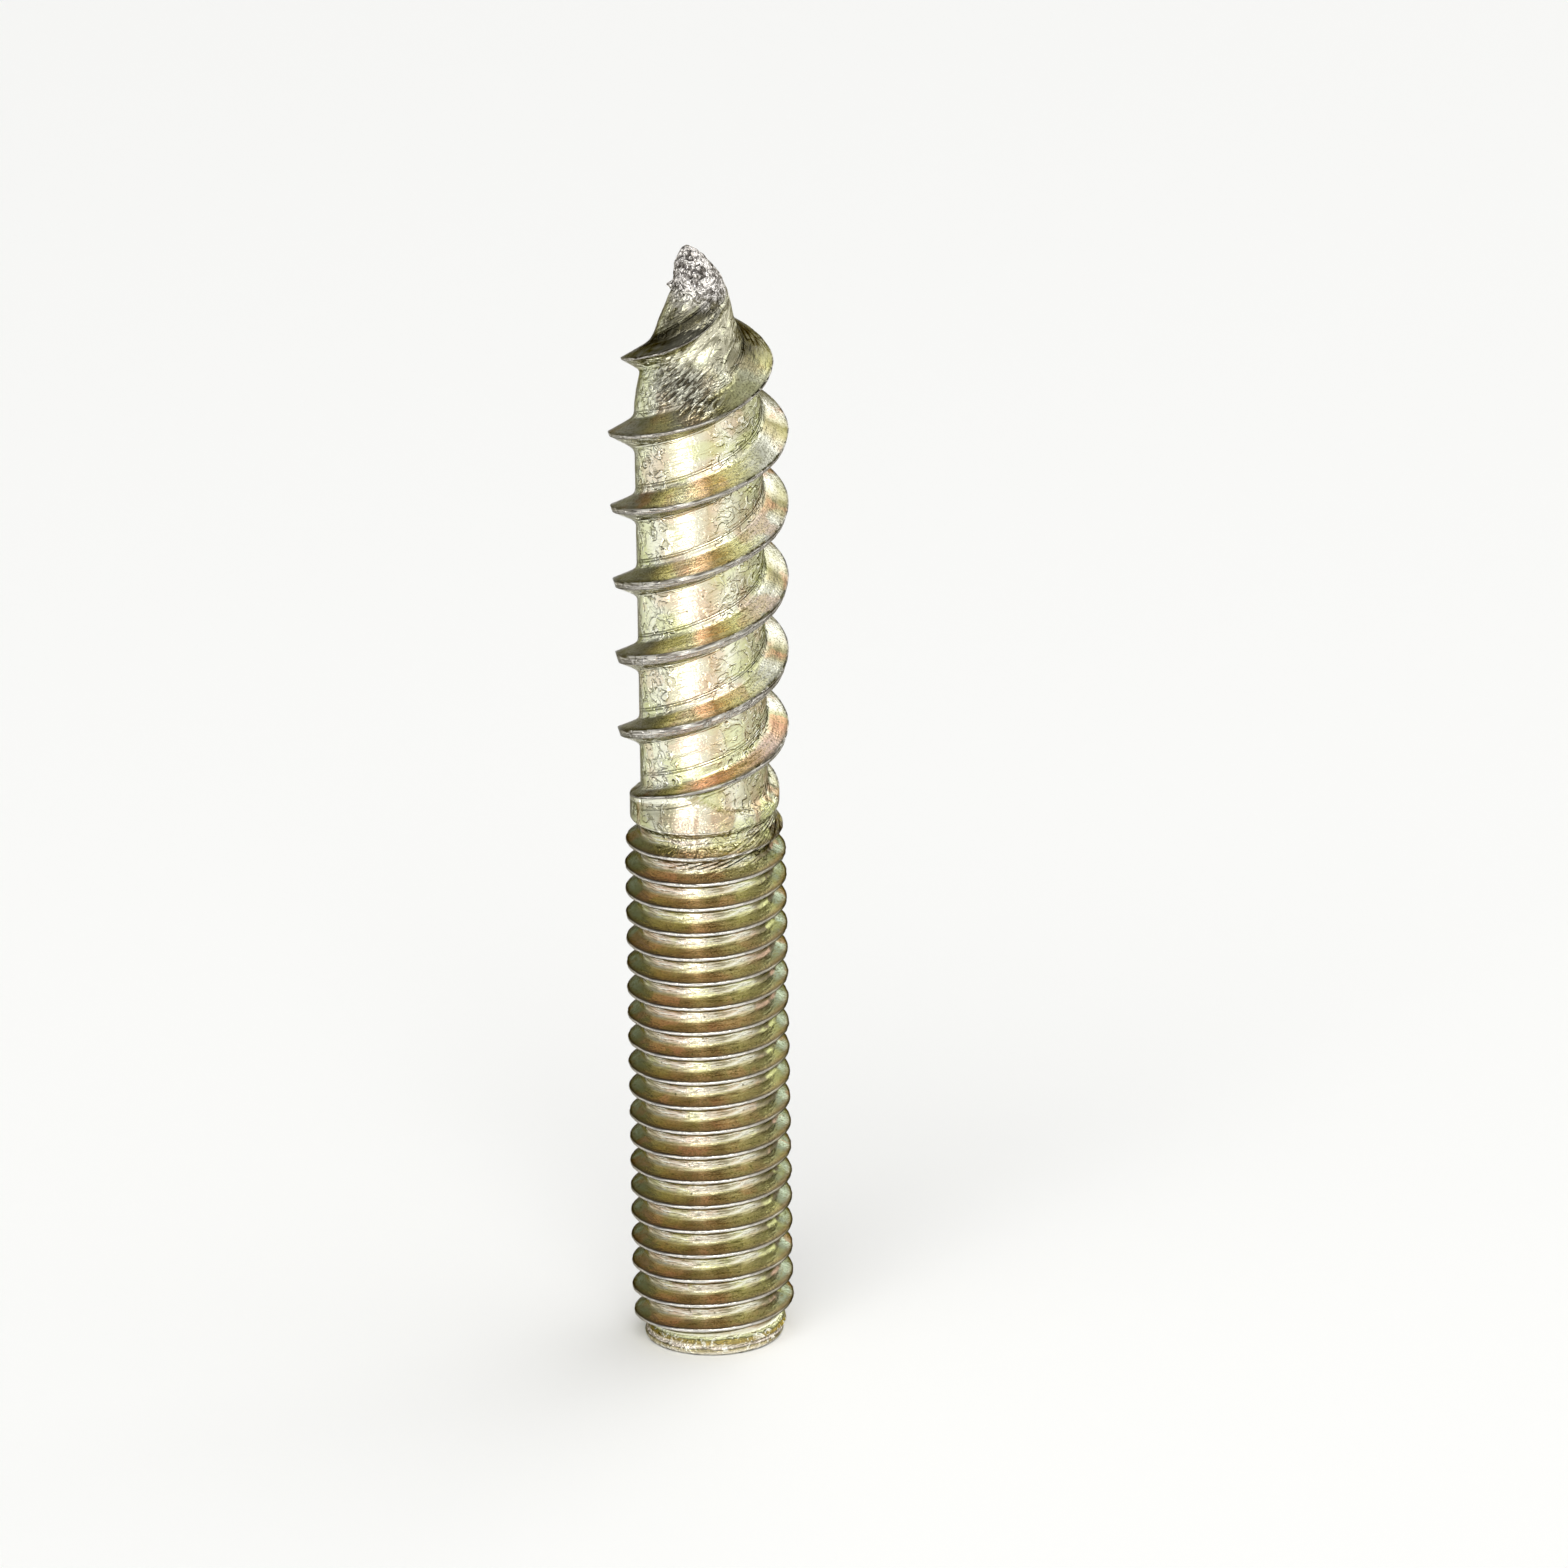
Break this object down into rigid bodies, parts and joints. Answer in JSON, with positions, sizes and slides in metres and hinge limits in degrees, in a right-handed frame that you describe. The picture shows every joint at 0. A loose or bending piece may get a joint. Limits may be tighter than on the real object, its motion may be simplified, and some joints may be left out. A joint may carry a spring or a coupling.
{
  "type": "dowel screw",
  "caption": "Double-ended steel screw: a metric machine thread at the flat end and a coarse wood thread with a gimlet point at the other, zinc plated and yellow passivated.",
  "frame": {"origin": "centre of the flat face at the end of the machine thread", "axes": "+Z runs along the screw from its flat end to the gimlet point; +X is the side on which a crest of the wood thread lies at the height of its last full turn"},
  "size_m": [0.0054, 0.0054, 0.035],
  "materials": {
    "zinc_steel": "zinc plated and yellow passivated cold-formed steel"
  },
  "bodies": {
    "root": {"dowel_screw": "zinc_steel"}
  },
  "joints": []
}
